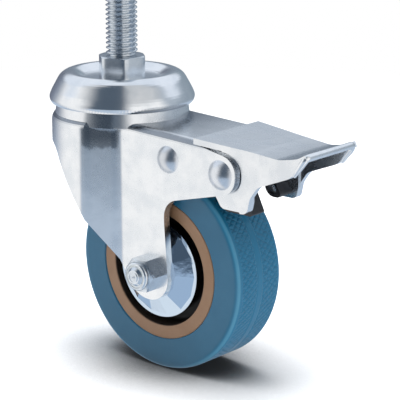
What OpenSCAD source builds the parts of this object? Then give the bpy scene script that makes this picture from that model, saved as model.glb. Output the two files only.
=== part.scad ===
// Threaded stem castor with a swivel head, a pressed steel yoke, a moulded wheel and a foot brake.
// The origin is the centre of the hexagon collar's upper face, on the swivel axis.
// +Z runs up the stem and +X points back along the brake pedal.

/* [Overall] */
// Height from the floor to the collar's upper face
mount_h = 96; // [94:0.5:100]
// Horizontal distance from the swivel axis back to the wheel axle
trail = 24.2; // [23:0.1:26]

/* [Stem] */
// Thread diameter of the stem
stem_d = 10; // [8:1:12]
// Length of the stem above the collar
stem_l = 25; // [15:1:40]
// Chamfer on the stem's free end
stem_chamfer = 1; // [0.5:0.1:1.5]
// Hexagon collar's size across its flats
collar_af = 14; // [13:0.5:17]
// Height of the hexagon collar
collar_h = 6.5; // [5:0.5:8]
// Height of the dome that is turned on the collar's upper edge
collar_dome_h = 1.3; // [0.6:0.1:2]
// Angle of one corner of the hexagon about the swivel axis
collar_turn = 20; // [0:5:60]
// Diameter of the shank that runs down through the swivel head
shank_d = 10; // [9:0.5:10.5]
// Diameter of the head peened on the shank's lower end
peen_d = 14; // [13:0.5:16]
// Height of the peened head
peen_h = 2.2; // [1.5:0.1:3]
// Diameter of the washer above the peened head
washer_d = 19; // [17:0.5:22]
// Thickness of that washer
washer_t = 1.2; // [1:0.1:1.6]

/* [Swivel head] */
// Sheet thickness of the bowl
bowl_t = 1.8; // [1.5:0.1:2]
// Largest radius of the bowl
bowl_r = 23.3; // [22:0.1:25]
// Depth of the bowl from its crest to its lip
bowl_depth = 9.7; // [9:0.1:10.5]
// Height of the bowl's crest above its sunk floor
bowl_crest = 1.7; // [1.3:0.1:2]
// Width of the bowl's raised crest, from the sunk floor's edge to the bowl's outer edge
bowl_crest_w = 10.9; // [10.8:0.1:11.8]
// Diameter of the upper balls
upper_ball_d = 5; // [4.5:0.1:5.2]
// How far the upper balls' circle lies inside the bowl's outer edge
upper_track_in = 6.8; // [6.3:0.1:7.1]
// Diameter of the lower balls
lower_ball_d = 4; // [3.5:0.1:4.5]
// How far the lower balls' circle lies inside the upper balls' circle
lower_track_in = 5; // [4.5:0.1:5.5]
// Sheet thickness of the lower race's dish
race_t = 1.8; // [1.5:0.1:2.2]
// Radius of the lower race's neck
race_neck_r = 7; // [6.8:0.1:7.4]
// Play between a ball and the track on each side of it
ball_play = 0.03; // [0.02:0.01:0.05]

/* [Yoke] */
// Sheet thickness of the yoke
yoke_t = 2.5; // [2:0.1:2.8]
// Clear width between the inner faces of the two arms
arm_gap = 25.5; // [25.5:0.5:28]
// How far the raised ring under the upper balls stands in from the bowl's outer edge
ring_in = 1.8; // [1.5:0.1:2.3]
// How far the round front of the yoke stands out from the raised ring
front_out = 1; // [0.5:0.1:2]
// Height of the raised ring's flat top above the deck
ring_h = 5.55; // [5:0.05:6]
// Bore of the ring around the lower race's neck
ring_bore_r = 7.5; // [7.45:0.05:8]
// Where the slanted side panels run into the flat arms, back from the swivel axis
arm_start = 12.4; // [11:0.2:14]
// Slope of the side panels, seen from above
panel_slope = 39; // [36:1:42]
// Outer radius of the bend between the deck and the sides
bend_r = 3; // [2.6:0.1:3.6]
// Slope of the deck behind the ring
deck_fall = 2.6; // [1:0.2:4]
// Where the deck ends, back from the swivel axis
deck_end = 42.3; // [40:0.1:42.5]
// Depth of the closed front below the deck
front_depth = 9.7; // [8:0.1:12]
// Slope of the legs' front edge
leg_rake = 56; // [53:1:59]
// Depth below the deck at which the legs are narrowest
waist_drop = 28.8; // [25:0.2:32]
// Radius of the legs' lower end about the axle
leg_end_r = 8.7; // [8:0.1:9.5]
// Width of the arm's rounded rear end, as a radius about the pedal pivot
arm_end_r = 5.7; // [5.5:0.1:6.5]

/* [Rivets] */
// Front rivet, back from the swivel axis
rivet_x = 32.5; // [31:0.5:34]
// Front rivet, down from the deck
rivet_drop = 9; // [8.5:0.1:10]
// Pedal pivot, back from the swivel axis
pivot_x = 53; // [52:0.5:54]
// Pedal pivot, down from the deck
pivot_drop = 10.5; // [10:0.1:11.5]
// Shank diameter of both rivets
rivet_d = 6; // [5:0.5:6.5]
// Head diameter of the front rivet
rivet_head_d = 8.5; // [8:0.1:10]
// Head diameter of the pedal rivet
pivot_head_d = 9.1; // [8.5:0.1:10]
// Height of the rivets' domed heads
rivet_head_h = 2.2; // [1.8:0.1:2.6]
// Outer diameter of the tube that spaces the arms at the front rivet
spacer_d = 8.4; // [8:0.1:9]
// Thickness of the leaf spring
spring_t = 0.8; // [0.5:0.1:1]
// Width of the leaf spring
spring_w = 8; // [6:0.5:8.5]

/* [Wheel] */
// Diameter of the tyre
wheel_d = 65; // [62:0.5:66]
// Width of the tyre
tyre_w = 21; // [19:0.5:21.5]
// Rounding of the tyre's shoulders
tyre_edge_r = 2; // [1:0.1:3]
// Radius at which the tyre's side meets the rim
rim_r = 22.6; // [22:0.1:24]
// Inner radius of the rim
rim_in_r = 18.3; // [18:0.1:19]
// Height of the key that holds the tyre on the rim
rim_key_h = 2.2; // [1.5:0.1:3]
// Width of that key
rim_key_w = 9; // [6:0.5:12]
// How far the rim's side stands back from the tyre's side
rim_inset = 0.15; // [0.05:0.05:0.5]
// Thickness of the web between rim and hub
web_t = 6; // [5:0.5:8]
// Outer radius of the hub
hub_r = 13.5; // [13:0.1:14]
// Radius of the dust caps
cap_r = 15.5; // [15:0.1:16]
// Radius of the dust caps' flat face against the arm
cap_face_r = 9; // [8.5:0.1:10]
// Sheet thickness of the dust caps
cap_t = 1.2; // [0.8:0.1:1.3]
// Height of a dust cap from its rim's outer edge to the arm
cap_rise = 2.5; // [2.3:0.1:2.8]
// Thickness of the plain rim around a dust cap
cap_rim_t = 0.6; // [0.4:0.1:0.8]
// Number of facets pressed into each dust cap
cap_facets = 14; // [10:1:18]

/* [Wheel bearings] */
// Outer diameter of a wheel bearing
bearing_d = 22; // [21:0.5:22.5]
// Width of a wheel bearing
bearing_w = 7; // [6:0.5:7]
// Distance from the arm's inner face to the bearing
bearing_inset = 3.25; // [3:0.05:3.5]
// Outer diameter of the axle sleeve, and bore of the bearings
sleeve_d = 8; // [8:0.1:8.4]
// Diameter of the bearing balls
bearing_ball_d = 3.9; // [3.5:0.1:4]
// Number of balls in each wheel bearing
bearing_balls_n = 7; // [6:1:9]

/* [Axle bolt] */
// Thread diameter of the axle bolt
bolt_d = 6; // [5:0.5:6]
// Size across the flats of the bolt's head and of the nut
bolt_af = 10; // [9:0.5:11]
// Height of the bolt's head
bolt_head_h = 4; // [3.5:0.1:4.5]
// Height of the nut's hexagon
nut_h = 4.6; // [4:0.1:5.5]
// Height of the round collar on the nut
nut_collar_h = 1.4; // [1:0.1:2]
// Diameter of that collar
nut_collar_d = 9.2; // [8.4:0.1:9.4]
// Height of the tapered tip with which the bolt stands out of the nut
bolt_tip_h = 0.8; // [0.4:0.1:1.2]

/* [Brake pedal] */
// Sheet thickness of the pedal
pedal_t = 1.8; // [1.5:0.1:2]
// Half of the pedal's width at its front edge
pedal_front_w = 15.5; // [15:0.1:16]
// Half of the pedal's width where its flanges begin
pedal_mid_w = 13.3; // [13:0.1:13.8]
// Half of the pedal's width at its raised lip
pedal_lip_w = 12.4; // [11.5:0.1:12.8]
// Length of the pedal behind its pivot
pedal_reach = 30.6; // [28:0.2:34]
// Height of the pedal's plate above its pivot
pedal_rise = 9.3; // [9:0.1:10]
// Height of the raised lip above the lowest line of the tread plate
lip_h = 2.7; // [1.5:0.1:4]
// Depth of the flanges' lobes below the pivot
lobe_depth = 11; // [10:0.1:11.5]
// Gap between a flange and the arm beside it
flange_play = 0.3; // [0.2:0.05:0.4]
// Gap between the arm's rounded end and the step in the flange
step_gap = 1.2; // [0.8:0.1:1.6]

/* [Brake shoe] */
// Depth of the shoe below the pivot
shoe_depth = 12.2; // [11.5:0.1:12.4]
// How much less deep the far cheek of the shoe is than the near one
shoe_far_lift = 2.4; // [0:0.1:3]
// How far the near cheek's foot reaches back from the pivot
shoe_foot_x = 8.8; // [8:0.1:9.5]
// Width of the open middle between the shoe's cheeks
shoe_slot_w = 9; // [9:0.5:11]
// Radius of the shoe's hub on the pivot
shoe_hub_r = 5; // [4.5:0.1:5.2]
// Diameter of the pins that fix the shoe to the flanges
shoe_pin_d = 3; // [2.5:0.1:3.5]

/* [Hidden] */
$fn = 64;

// Running and assembly clearances
pin_play = 0.05;
cut = 1;
lap = 2;
far = 200;

// Heights down the swivel head, from the collar's upper face
bowl_floor_z = -collar_h;
bowl_under_z = bowl_floor_z - bowl_t;
crest_z = bowl_floor_z + bowl_crest;
upper_ball_z = crest_z - bowl_t - ball_play - upper_ball_d / 2;
ring_top_z = upper_ball_z - upper_ball_d / 2 - ball_play;
ring_under_z = ring_top_z - yoke_t;
lower_ball_z = ring_under_z - ball_play - lower_ball_d / 2;
race_top_z = lower_ball_z - lower_ball_d / 2 - ball_play;
race_under_z = race_top_z - race_t;
washer_under_z = race_under_z - washer_t;
deck_z = ring_top_z - ring_h;

// Radii of the ball tracks and of the forms around them
bowl_floor_r = bowl_r - bowl_crest_w;
upper_track_r = bowl_r - upper_track_in;
lower_track_r = upper_track_r - lower_track_in;
ring_r = bowl_r - ring_in;
front_r = ring_r + front_out;

// Places of the axle, the rivets and the walls
axle_z = wheel_d / 2 - mount_h;
rivet_z = deck_z - rivet_drop;
pivot_z = deck_z - pivot_drop;
arm_y = arm_gap / 2;
side_y = arm_y + yoke_t;
bearing_y = arm_y - bearing_inset;
cap_rim_y = arm_y - cap_rise;
rim_y = tyre_w / 2 - rim_inset;
flange_y = arm_y - flange_play;
nut_end = nut_h + nut_collar_h;
nut_insert_r = nut_collar_d / 2 - nut_collar_h * 0.6;

// A vector of length one
function unit(v) = v / norm(v);

// A corner q between p and s, rounded to radius r with a point about every ten degrees
function corner(p, q, s, r) =
  let (u = unit(p - q),
       v = unit(s - q),
       half = acos(u * v) / 2,
       c = q + unit(u + v) * r / sin(half),
       a = q + u * r / tan(half) - c,
       b = q + v * r / tan(half) - c,
       a0 = atan2(a.y, a.x),
       turn = (atan2(b.y, b.x) - a0 + 540) % 360 - 180,
       n = ceil(abs(turn) / 10))
  [for (i = [0:n]) c + r * [cos(a0 + turn * i / n), sin(a0 + turn * i / n)]];

// A closed outline of [x, y, radius] corners with each corner rounded
function rounded(pts) =
  let (n = len(pts))
  [for (i = [0:n - 1])
    let (p = pts[(i + n - 1) % n], q = pts[i], s = pts[(i + 1) % n])
    each q.z == 0 ? [[q.x, q.y]] : corner([p.x, p.y], [q.x, q.y], [s.x, s.y], q.z)];

// An open line of [x, y, radius] corners with its inner corners rounded
function rounded_line(pts) =
  let (n = len(pts))
  [for (i = [0:n - 1])
    let (q = pts[i], p = pts[max(i - 1, 0)], s = pts[min(i + 1, n - 1)])
    each q.z == 0 ? [[q.x, q.y]] : corner([p.x, p.y], [q.x, q.y], [s.x, s.y], q.z)];

// A strip of thickness t on the right-hand side of an open line
function strip(line, t) =
  let (n = len(line))
  concat(line, [for (i = [n - 1:-1:0])
    let (d = unit(line[min(i + 1, n - 1)] - line[max(i - 1, 0)]))
    line[i] + t * [d.y, -d.x]]);

// Turns a flat side view, drawn as x and height, into a prism of width w about the middle plane
module side_prism(w = far)
  rotate([90, 0, 0]) linear_extrude(w, center = true) children();

// Moves a shape drawn along +Z to the axle, pointing at the near side
module on_axle() translate([trail, 0, axle_z]) rotate([90, 0, 0]) children();

// Moves a shape drawn along +Z to a cross rivet
module on_cross(x, z) translate([x, 0, z]) rotate([90, 0, 0]) children();

// A domed rivet head of diameter d and height h that stands on z = 0
module dome(d, h)
  let (r = (d * d / 4 + h * h) / (2 * h))
  intersection() {
    translate([0, 0, h - r]) sphere(r);
    cylinder(d = d + cut, h = h + cut);
  }

// A ring of balls that nearly touch each other
module ball_ring(r, d)
  let (n = floor(180 / asin(d * 1.02 / (2 * r))))
  for (i = [0:n - 1])
    rotate(i * 360 / n) translate([r, 0]) sphere(d / 2);

module hexagon(af, h) cylinder(d = af / cos(30), h = h, $fn = 6);

// Swivel head

module stem()
  color("silver") {
    cylinder(d = stem_d, h = stem_l - stem_chamfer);
    translate([0, 0, stem_l - stem_chamfer])
      cylinder(d1 = stem_d, d2 = stem_d - 2 * stem_chamfer, h = stem_chamfer);
    intersection() {
      translate([0, 0, -collar_h]) rotate(collar_turn) hexagon(collar_af, collar_h);
      collar_dome();
    }
    translate([0, 0, washer_under_z]) cylinder(d = shank_d, h = -washer_under_z - collar_h + cut);
    translate([0, 0, washer_under_z]) mirror([0, 0, 1]) dome(peen_d, peen_h);
  }

// The turned form that rounds the upper corners of the collar
module collar_dome()
  let (corner_r = collar_af / sqrt(3),
       rim_r = corner_r - collar_dome_h)
  rotate_extrude()
    polygon([
      [0, -collar_h],
      [corner_r, -collar_h],
      for (a = [0:15:90])
        [rim_r + collar_dome_h * cos(a), collar_dome_h * (sin(a) - 1)],
      [0, 0]
    ]);

module swivel_bowl()
  let (lip_z = crest_z - bowl_depth)
  color("lightsteelblue")
  rotate_extrude()
    polygon(strip(rounded_line([
      [shank_d / 2, bowl_floor_z, 0],
      [bowl_floor_r, bowl_floor_z, 2],
      [bowl_floor_r + 2.6, crest_z, 3],
      [bowl_r - 4.2, crest_z, 4.5],
      [bowl_r - 0.9, lip_z + 3.7, 8],
      [bowl_r + 0.1, lip_z + 1.3, 2.1],
      [bowl_r - 0.9, lip_z, 0]
    ]), bowl_t));

module upper_balls()
  color("gainsboro") translate([0, 0, upper_ball_z]) ball_ring(upper_track_r, upper_ball_d);

module lower_balls()
  color("gainsboro") translate([0, 0, lower_ball_z]) ball_ring(lower_track_r, lower_ball_d);

// A drawn dish under the lower balls, with a neck that bears on the bowl's floor
module lower_race()
  let (dish_r = lower_track_r + lower_ball_d / 2 + 0.3,
       rim_r = dish_r + race_t * 0.7)
  color("silver")
  rotate_extrude()
    polygon([
      [shank_d / 2, race_under_z],
      [rim_r - 0.8, race_under_z],
      [rim_r, race_under_z + 0.8],
      [rim_r, lower_ball_z + 0.2],
      [dish_r, lower_ball_z + 0.2],
      [dish_r, race_top_z + 0.6],
      [dish_r - 0.6, race_top_z],
      [race_neck_r, race_top_z],
      [race_neck_r, bowl_under_z],
      [shank_d / 2, bowl_under_z]
    ]);

module kingpin_washer()
  color("silver")
  translate([0, 0, washer_under_z])
    difference() {
      cylinder(d = washer_d, h = washer_t);
      translate([0, 0, -cut]) cylinder(d = shank_d, h = washer_t + 2 * cut);
    }

// Yoke: one blank with a round closed front, slanted side panels, flat arms and a raised ring

module yoke()
  color("lightsteelblue")
  difference() {
    union() {
      intersection() {
        front_block(0);
        side_prism() side_outline();
      }
      intersection() {
        arm_block(0);
        side_prism() side_outline();
      }
      ring_form(0);
    }
    front_block(yoke_t);
    arm_block(yoke_t);
    ring_form(yoke_t);
    translate([deck_end, -arm_y, -far]) cube([far, arm_gap, far]);
    cylinder(r = ring_bore_r, h = far, center = true);
    on_axle() cylinder(d = bolt_d + 2 * pin_play, h = far, center = true);
    on_cross(rivet_x, rivet_z) cylinder(d = rivet_d, h = far, center = true);
    on_cross(pivot_x, pivot_z) cylinder(d = rivet_d, h = far, center = true);
  }

// The solid inside the round front and the side panels, drawn in by the given amount
module front_block(inset)
  let (r = front_r - inset,
       top = deck_z - inset,
       edge_r = max(bend_r - inset, 0.3),
       reach = arm_start * sin(panel_slope) + side_y * cos(panel_slope) - inset)
  intersection() {
    rotate(180) rotate_extrude()
      polygon(rounded([
        [0, top, 0],
        [r, top, edge_r],
        [r, top - far, 0],
        [0, top - far, 0]
      ]));
    for_both_sides()
      rotate([0, 0, 90 - panel_slope]) rotate([90, 0, 0])
        linear_extrude(far, center = true)
          polygon(rounded([
            [-far, top + cut, 0],
            [reach, top + cut, edge_r * 1.3],
            [reach, top - far, 0],
            [-far, top - far, 0]
          ]));
    translate([-far, -far / 2, -far]) cube([far + arm_start + lap, far, far]);
  }

// The part of space that lies within a side form and its mirror image
module for_both_sides()
  intersection() {
    children();
    mirror([0, 1, 0]) children();
  }

// The solid inside the flat arms and the deck, drawn in by the given amount
module arm_block(inset)
  let (half = side_y - inset,
       edge_r = max(bend_r - inset, 0.3))
  translate([arm_start - 3 * lap, 0, deck_z])
    rotate([0, deck_fall, 0])
      rotate([90, 0, 90])
        linear_extrude(far / 2)
          polygon(rounded([
            [-half, -inset, edge_r],
            [-half, -far, 0],
            [half, -far, 0],
            [half, -inset, edge_r]
          ]));

// The raised ring around the swivel axis, drawn in by the given amount
module ring_form(inset)
  let (r = ring_r - inset,
       top = ring_top_z - inset,
       base = deck_z - inset)
  rotate_extrude()
    polygon(rounded([
      [0, top, 0],
      [upper_track_r + 2.2 - inset / 2, top, 1.5],
      [r - 0.6, base + ring_h * 0.5, 1.5],
      [r, base - lap, 0],
      [0, base - lap, 0]
    ]));

// Side view of the yoke: round front, raked legs, rising arms and the end of the deck
module side_outline()
  let (nx = sin(leg_rake),
       nz = cos(leg_rake),
       front_z = deck_z - front_depth,
       foot_z = axle_z - leg_end_r,
       edge = leg_end_r / nx,
       front_x = trail - edge - (front_z - axle_z) * nz / nx,
       foot_x = trail - edge + leg_end_r * nz / nx,
       back_x = trail + leg_end_r,
       waist_x = back_x - 2,
       waist_z = deck_z - waist_drop,
       rise = 0.256,
       under_z = pivot_z - arm_end_r - 0.6,
       crook_z = under_z - (pivot_x - waist_x) * rise,
       end_x = pivot_x + arm_end_r,
       top_z = pivot_z + arm_end_r)
  polygon(rounded([
    [-far, front_z, 0],
    [front_x, front_z, 6],
    [foot_x, foot_z, leg_end_r],
    [back_x, foot_z, leg_end_r - 1],
    [waist_x, waist_z, 20],
    [waist_x, crook_z, 6],
    [end_x, under_z + (end_x - pivot_x) * rise, arm_end_r],
    [end_x, top_z - 0.5, arm_end_r - 0.3],
    [deck_end, deck_z - 2.5, 0],
    [deck_end, deck_z + far, 0],
    [-far, deck_z + far, 0]
  ]));

// Cross rivets and the leaf spring

// A rivet through both arms with a domed head outside each
module cross_rivet(x, z, head_d)
  on_cross(x, z) {
    cylinder(d = rivet_d, h = 2 * side_y, center = true);
    for (s = [0, 1])
      mirror([0, 0, s]) translate([0, 0, side_y]) dome(head_d, rivet_head_h);
  }

module front_rivet() color("lightgray") cross_rivet(rivet_x, rivet_z, rivet_head_d);

module pedal_rivet() color("lightgray") cross_rivet(pivot_x, pivot_z, pivot_head_d);

module spacer_tube()
  color("silver")
  on_cross(rivet_x, rivet_z)
    difference() {
      cylinder(d = spacer_d, h = arm_gap, center = true);
      cylinder(d = rivet_d + 2 * pin_play, h = far, center = true);
    }

// A leaf with a rolled eye on the spacer tube, whose free end presses on the shoe's hub
module brake_spring()
  let (eye_r = spacer_d / 2 + pin_play,
       tip = [pivot_x - rivet_x, pivot_z - rivet_z] + (shoe_hub_r + 0.35) * [-cos(30), sin(30)],
       tip_out = tip + spring_t * [-sin(14), cos(14)])
  color("dimgray")
  translate([rivet_x, 0, rivet_z])
    side_prism(spring_w)
      difference() {
        union() {
          circle(eye_r + spring_t);
          polygon([[0, eye_r], tip, tip_out, [0, eye_r + spring_t]]);
        }
        circle(eye_r);
        translate([eye_r * 0.7, -spring_t]) square([far, spring_t * 1.2]);
      }

// Axle and its fasteners

module axle_bolt()
  color("silver")
  on_axle() {
    translate([0, 0, -side_y]) cylinder(d = bolt_d, h = 2 * side_y + nut_end);
    translate([0, 0, side_y + nut_end]) cylinder(d1 = bolt_d, d2 = bolt_d - 2 * bolt_tip_h, h = bolt_tip_h);
    translate([0, 0, -side_y - bolt_head_h]) bolt_head();
  }

// A hexagon head with its outer corners turned off
module bolt_head()
  intersection() {
    hexagon(bolt_af, bolt_head_h);
    cylinder(d1 = bolt_af * 0.95, d2 = bolt_af * 2.2, h = bolt_head_h);
  }

module axle_nut()
  color("silver")
  on_axle() translate([0, 0, side_y])
    difference() {
      union() {
        intersection() {
          hexagon(bolt_af, nut_h);
          cylinder(d1 = bolt_af * 2.4, d2 = bolt_af * 0.98, h = nut_h);
        }
        rotate_extrude()
          polygon(rounded([
            [0, 0, 0],
            [nut_collar_d / 2, 0, 0],
            [nut_collar_d / 2, nut_end, nut_collar_h * 0.5],
            [0, nut_end, 0]
          ]));
      }
      translate([0, 0, -cut]) cylinder(d = bolt_d, h = far);
      translate([0, 0, nut_h]) cylinder(r = nut_insert_r, h = far);
    }

module nut_insert()
  color("whitesmoke")
  on_axle() translate([0, 0, side_y + nut_h])
    difference() {
      cylinder(r = nut_insert_r, h = nut_collar_h - 0.3);
      translate([0, 0, -cut]) cylinder(d = bolt_d, h = far);
    }

module axle_sleeve()
  color("silver")
  on_axle()
    difference() {
      cylinder(d = sleeve_d, h = arm_gap, center = true);
      cylinder(d = bolt_d + 2 * pin_play, h = far, center = true);
    }

// A pressed cap of flat facets, with a plain rim and a boss that bears on the bearing
module dust_cap()
  color("lightsteelblue")
  on_axle()
    difference() {
      union() {
        facet_cone(cap_r - 0.3, cap_face_r, arm_y);
        translate([0, 0, cap_rim_y - cap_rim_t]) cylinder(r = cap_r, h = cap_rim_t);
      }
      difference() {
        union() {
          facet_cone(cap_r - 0.3 - cap_t, cap_face_r - cap_t / 2, arm_y - cap_t);
          translate([0, 0, cap_rim_y - cap_rim_t - cut])
            cylinder(r = cap_r - 0.3 - cap_t, h = cap_rim_t + cut);
        }
        cylinder(d = sleeve_d + 3.8, h = far);
      }
      cylinder(d = sleeve_d, h = far);
      translate([0, 0, bearing_y - far]) cylinder(r = far / 2, h = far);
    }

// A low cone with flat facets between the cap's rim and a face at the given height
module facet_cone(base_r, face_r, top)
  hull() {
    translate([0, 0, cap_rim_y - cap_rim_t / 2]) cylinder(r = base_r, h = 0.01, $fn = cap_facets);
    translate([0, 0, top - 0.01]) cylinder(r = face_r, h = 0.01, $fn = cap_facets);
  }

module dust_cap_near() dust_cap();

module dust_cap_far() mirror([0, 1, 0]) dust_cap();

// Wheel

module tyre()
  let (r = wheel_d / 2,
       half = tyre_w / 2,
       key_r = rim_r + rim_key_h)
  color("steelblue")
  on_axle()
    rotate_extrude()
      polygon(rounded([
        [rim_r, half, 0.4],
        [r, half, tyre_edge_r],
        [r, -half, tyre_edge_r],
        [rim_r, -half, 0.4],
        [rim_r, -rim_key_w / 2, 0],
        [key_r, -rim_key_w / 2, 0],
        [key_r, rim_key_w / 2, 0],
        [rim_r, rim_key_w / 2, 0]
      ]));

module wheel_core()
  let (key_r = rim_r + rim_key_h,
       hub_y = bearing_y - 0.2,
       stop_y = bearing_y - bearing_w,
       seat_r = bearing_d / 2)
  color("saddlebrown")
  on_axle()
    rotate_extrude()
      polygon(rounded(concat(
        core_side(key_r, hub_y, seat_r, stop_y),
        [for (p = reverse(core_side(key_r, hub_y, seat_r, stop_y))) [p.x, -p.y, p.z]]
      )));

// One side of the moulded core, from the tyre's key in to the bearing's stop
function core_side(key_r, hub_y, seat_r, stop_y) = [
  [key_r, rim_key_w / 2, 0],
  [rim_r, rim_key_w / 2, 0],
  [rim_r, rim_y, 0.4],
  [rim_in_r, rim_y, 0.5],
  [rim_in_r, web_t / 2, 1.5],
  [hub_r, web_t / 2, 1.5],
  [hub_r, hub_y, 0.4],
  [seat_r, hub_y, 0],
  [seat_r, stop_y, 0],
  [seat_r - 1.2, stop_y, 0]
];

function reverse(pts) = [for (i = [len(pts) - 1:-1:0]) pts[i]];

// Wheel bearings

bearing_mid_y = bearing_y - bearing_w / 2;
bearing_pitch_r = (bearing_d / 2 + sleeve_d / 2) / 2;

// A ring between two radii at each end of the hub, with a ball groove
module bearing_rings(r_in, r_out)
  on_axle()
    for (s = [-1, 1])
      translate([0, 0, s * bearing_mid_y])
        rotate_extrude()
          difference() {
            translate([r_in, -bearing_w / 2]) square([r_out - r_in, bearing_w]);
            translate([bearing_pitch_r, 0]) circle(bearing_ball_d / 2 + ball_play);
          }

module bearing_inner_rings()
  color("gainsboro") bearing_rings(sleeve_d / 2, bearing_pitch_r - bearing_ball_d * 0.38);

module bearing_outer_rings()
  color("gainsboro") bearing_rings(bearing_pitch_r + bearing_ball_d * 0.38, bearing_d / 2);

module bearing_balls()
  color("white")
  on_axle()
    for (s = [-1, 1], i = [0:bearing_balls_n - 1])
      translate([0, 0, s * bearing_mid_y])
        rotate(i * 360 / bearing_balls_n) translate([bearing_pitch_r, 0]) sphere(bearing_ball_d / 2);

// Brake pedal, drawn about its pivot

front_edge_x = deck_end + 0.7 - pivot_x;
plate_z = pedal_rise;
tread_z = pedal_rise - 2.0;
kink_x = 10.5;

module at_pivot() translate([pivot_x, 0, pivot_z]) children();

// Upper line of the tread plate from its front edge to the raised lip
function plate_line() = rounded_line([
  [front_edge_x, plate_z + 0.5, 0],
  [kink_x, tread_z + 0.9, 12],
  [pedal_reach - 10.5, tread_z, 8],
  [pedal_reach - 4, tread_z + lip_h * 0.45, 8],
  [pedal_reach - 1.6, tread_z + lip_h, 0]
]);

// Side view of a flange: the lobe around the pivot and the taper back to the lip
module flange_outline()
  let (front = -shoe_hub_r - 0.7)
  polygon(rounded([
    [front, plate_z - 1, 0],
    [front, -lobe_depth * 0.45, 4],
    [-1.6, -lobe_depth, 2.4],
    [8.7, -lobe_depth, 2],
    [9.8, -6, 3],
    [12.5, -2.2, 4],
    [pedal_reach - 6, 2.6, 6],
    [pedal_reach - 2.2, tread_z + lip_h - 1, 0],
    [pedal_reach - 4, tread_z + lip_h * 0.45 - 0.4, 0],
    [pedal_reach - 10.5, tread_z - 0.4, 0],
    [kink_x, tread_z + 0.5, 0]
  ]));

// The pedal's edge seen from above, out to the near side
function edge_line() = [
  [front_edge_x, pedal_front_w],
  [5, pedal_mid_w + 0.5],
  [kink_x - 1.5, pedal_mid_w],
  [pedal_reach - 2, pedal_lip_w],
  [pedal_reach, pedal_lip_w - 0.3]
];

// The same edge drawn in by the given amount, on both sides
module edge_area(inset)
  let (line = edge_line())
  polygon(concat(
    [for (p = line) [p.x, p.y - inset]],
    [for (p = reverse(line)) [p.x, inset - p.y]]
  ));

module brake_pedal()
  color("lightsteelblue")
  at_pivot()
    difference() {
      union() {
        intersection() {
          side_prism() polygon(strip(plate_line(), pedal_t));
          linear_extrude(far, center = true) edge_area(0);
        }
        inner_flanges();
        outer_flanges();
      }
      rotate([90, 0, 0]) cylinder(d = rivet_d + 2 * pin_play, h = far, center = true);
      shoe_pin_holes();
    }

// The flanges where they pass between the arms
module inner_flanges()
  intersection() {
    side_prism() flange_outline();
    for (s = [-1, 1])
      translate([-far / 2, s * (flange_y - pedal_t / 2) - pedal_t / 2, -far / 2])
        cube([far / 2 + 9.5, pedal_t, far]);
  }

// The flanges where they step out to the full width behind the arms' rounded ends
module outer_flanges()
  intersection() {
    side_prism()
      difference() {
        intersection() {
          flange_outline();
          polygon([[0, 0], [far * cos(60), -far * sin(60)], [far, -far], [far, far], [0, far]]);
        }
        circle(arm_end_r + step_gap);
      }
    linear_extrude(far, center = true)
      difference() {
        edge_area(0);
        edge_area(pedal_t + 0.2);
      }
  }

// Brake shoe, drawn about the pedal's pivot

cheek_y = flange_y - pedal_t - 0.05;
shoe_pin_x = shoe_hub_r * 0.86;
shoe_pin_z = -shoe_depth * 0.6;
shoe_pin_end = flange_y - 0.4;

// Side view of the near cheek, whose foot is square at the back
module near_cheek_outline()
  polygon(rounded([
    [-shoe_hub_r, 0, 0],
    [-shoe_hub_r, -shoe_depth * 0.5, shoe_hub_r * 0.8],
    [-shoe_hub_r * 0.4, -shoe_depth, shoe_hub_r * 0.5],
    [shoe_foot_x, -shoe_depth, 0.6],
    [shoe_hub_r, -shoe_hub_r * 0.9, 1],
    [shoe_hub_r * 0.9, 0, 0]
  ]));

// Side view of the far cheek, which is less deep and round in front
module far_cheek_outline()
  let (depth = shoe_depth - shoe_far_lift)
  polygon(rounded([
    [0, 0, 0],
    [shoe_hub_r * 0.28, -shoe_hub_r * 0.8, 0],
    [shoe_hub_r * 0.28, -depth, shoe_hub_r * 0.7],
    [shoe_foot_x - 0.5, -depth, 1.2],
    [shoe_hub_r, -shoe_hub_r * 0.9, 1],
    [shoe_hub_r * 0.9, 0, 0]
  ]));

module cheek(side)
  let (w = cheek_y - shoe_slot_w / 2)
  translate([0, side * (cheek_y - w / 2), 0]) side_prism(w) children();

module brake_shoe()
  color("#1a1a1c")
  at_pivot()
    difference() {
      union() {
        cheek(-1) near_cheek_outline();
        cheek(1) far_cheek_outline();
        rotate([90, 0, 0]) cylinder(r = shoe_hub_r, h = 2 * cheek_y, center = true);
      }
      rotate([90, 0, 0]) cylinder(d = rivet_d + 2 * pin_play, h = far, center = true);
      shoe_pin_holes();
    }

// Holes for the pins, which stay inside the flanges
module shoe_pin_holes()
  translate([shoe_pin_x, 0, shoe_pin_z])
    rotate([90, 0, 0]) cylinder(d = shoe_pin_d, h = 2 * shoe_pin_end, center = true);

// One short pin from each cheek into the flange beside it
module shoe_pins()
  color("silver")
  at_pivot() translate([shoe_pin_x, 0, shoe_pin_z])
    for (s = [-1, 1])
      translate([0, s * (shoe_slot_w / 2 + 1), 0])
        rotate([-s * 90, 0, 0]) cylinder(d = shoe_pin_d, h = shoe_pin_end - shoe_slot_w / 2 - 1);

stem();
swivel_bowl();
upper_balls();
lower_balls();
lower_race();
kingpin_washer();
yoke();
front_rivet();
spacer_tube();
brake_spring();
pedal_rivet();
axle_bolt();
axle_nut();
nut_insert();
axle_sleeve();
dust_cap_near();
dust_cap_far();
bearing_inner_rings();
tyre();
wheel_core();
bearing_outer_rings();
bearing_balls();
brake_pedal();
brake_shoe();
shoe_pins();
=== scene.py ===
import math

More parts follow.
